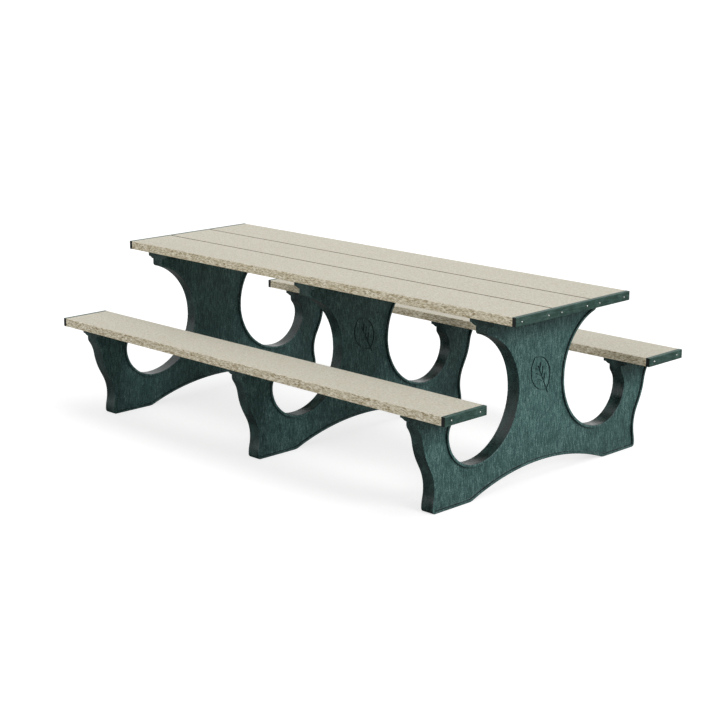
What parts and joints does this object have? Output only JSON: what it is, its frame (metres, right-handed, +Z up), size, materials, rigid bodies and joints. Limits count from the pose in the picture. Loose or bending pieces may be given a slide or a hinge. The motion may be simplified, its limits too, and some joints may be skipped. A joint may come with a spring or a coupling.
{
  "type": "picnic table",
  "caption": "Long rectangular picnic table with attached bench boards, carried on moulded panel legs with round legroom cut-outs.",
  "frame": {"origin": "on the floor under the middle of the tabletop", "axes": "+X along the table's length, +Y across it from the front bench to the rear bench, +Z up"},
  "size_m": [2.4408, 1.5444, 0.7727],
  "materials": {
    "board_plastic": "speckled beige recycled plastic lumber, lightly sanded faces",
    "leg_plastic": "dark teal green moulded plastic with streaky mottling and a satin moulded edge",
    "cap_plastic": "dark green extruded plastic strip, satin",
    "stainless_screw": "bright stainless steel",
    "galvanised_screw": "dull galvanised steel",
    "galvanised_washer": "dull galvanised steel"
  },
  "bodies": {
    "root": {"bench_board_front": "board_plastic", "bench_board_rear": "board_plastic", "bench_cap_screws_front_left": "stainless_screw", "bench_cap_screws_front_right": "stainless_screw", "bench_cap_screws_rear_left": "stainless_screw", "bench_cap_screws_rear_right": "stainless_screw", "bench_end_cap_front_left": "cap_plastic", "bench_end_cap_front_right": "cap_plastic", "bench_end_cap_rear_left": "cap_plastic", "bench_end_cap_rear_right": "cap_plastic", "bench_front_lag_screws_left": "galvanised_screw", "bench_front_lag_screws_middle": "galvanised_screw", "bench_front_lag_screws_right": "galvanised_screw", "bench_front_washers_left": "galvanised_washer", "bench_front_washers_middle": "galvanised_washer", "bench_front_washers_right": "galvanised_washer", "bench_rear_lag_screws_left": "galvanised_screw", "bench_rear_lag_screws_middle": "galvanised_screw", "bench_rear_lag_screws_right": "galvanised_screw", "bench_rear_washers_left": "galvanised_washer", "bench_rear_washers_middle": "galvanised_washer", "bench_rear_washers_right": "galvanised_washer", "leg_left": "leg_plastic", "leg_middle": "leg_plastic", "leg_right": "leg_plastic", "tabletop_board_front": "board_plastic", "tabletop_board_middle": "board_plastic", "tabletop_board_rear": "board_plastic", "tabletop_cap_screws_left": "stainless_screw", "tabletop_cap_screws_right": "stainless_screw", "tabletop_end_cap_left": "cap_plastic", "tabletop_end_cap_right": "cap_plastic", "tabletop_lag_screws_left": "galvanised_screw", "tabletop_lag_screws_middle": "galvanised_screw", "tabletop_lag_screws_right": "galvanised_screw", "tabletop_washers_left": "galvanised_washer", "tabletop_washers_middle": "galvanised_washer", "tabletop_washers_right": "galvanised_washer"}
  },
  "joints": []
}
